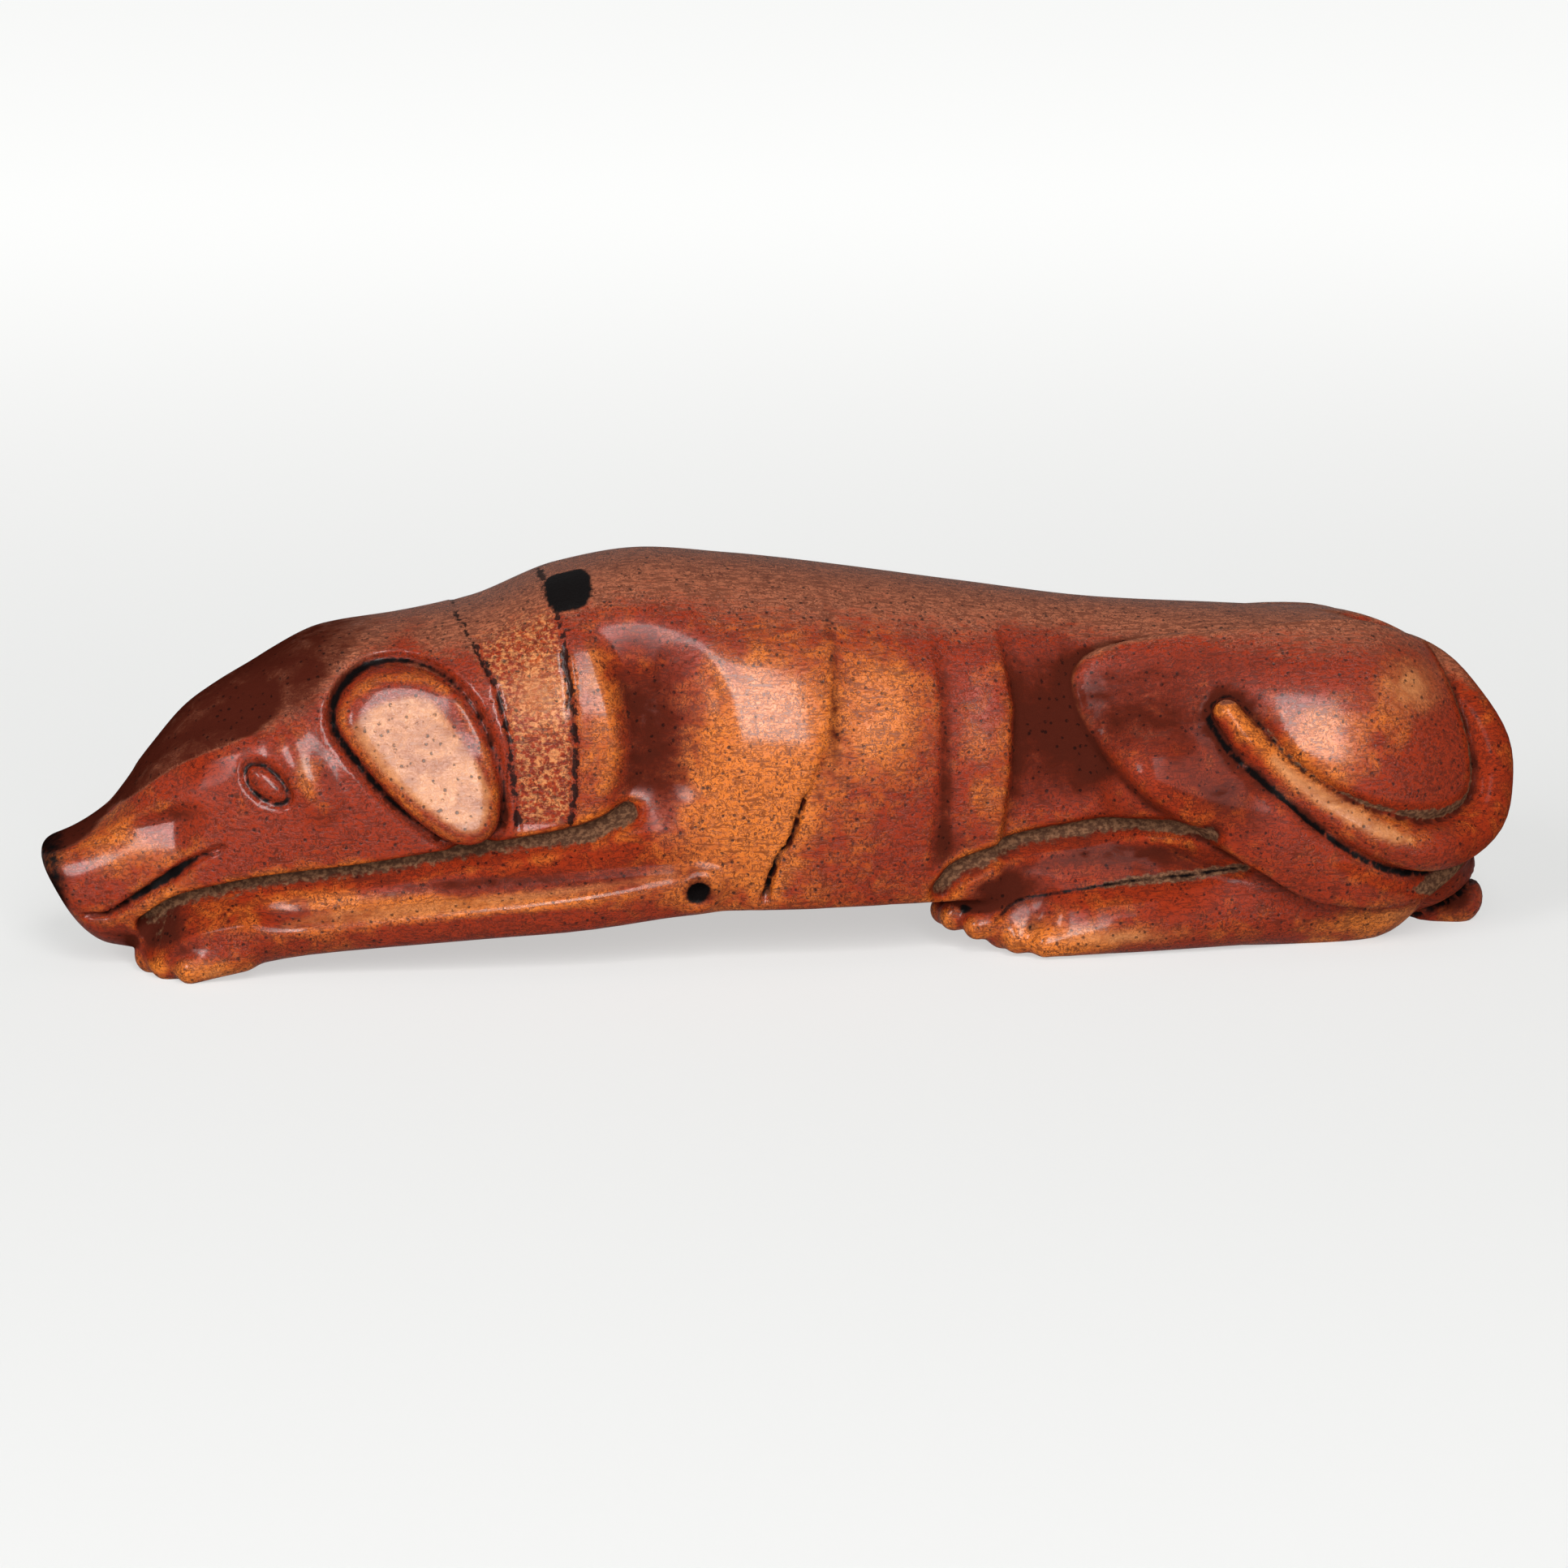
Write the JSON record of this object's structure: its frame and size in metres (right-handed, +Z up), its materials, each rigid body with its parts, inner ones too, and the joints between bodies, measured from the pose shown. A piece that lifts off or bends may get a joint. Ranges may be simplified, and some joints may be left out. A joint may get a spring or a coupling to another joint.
{
  "type": "snuff box",
  "caption": "Carved wooden snuff box in the form of a sleeping hound, hollowed from below and closed by an oval plug lid that lifts out.",
  "frame": {"origin": "on the surface that the box stands on, under the middle of its bounding box", "axes": "+X from the nose to the rump, +Y to the far side, away from the tail, +Z up"},
  "size_m": [0.1194, 0.0318, 0.0318],
  "materials": {
    "stained_wood": "red-brown stained fruitwood, hand polished over an old dark patina",
    "lid_wood": "plainer, drier stained fruitwood"
  },
  "bodies": {
    "root": {"hound": "stained_wood", "lid": "lid_wood"}
  },
  "joints": []
}
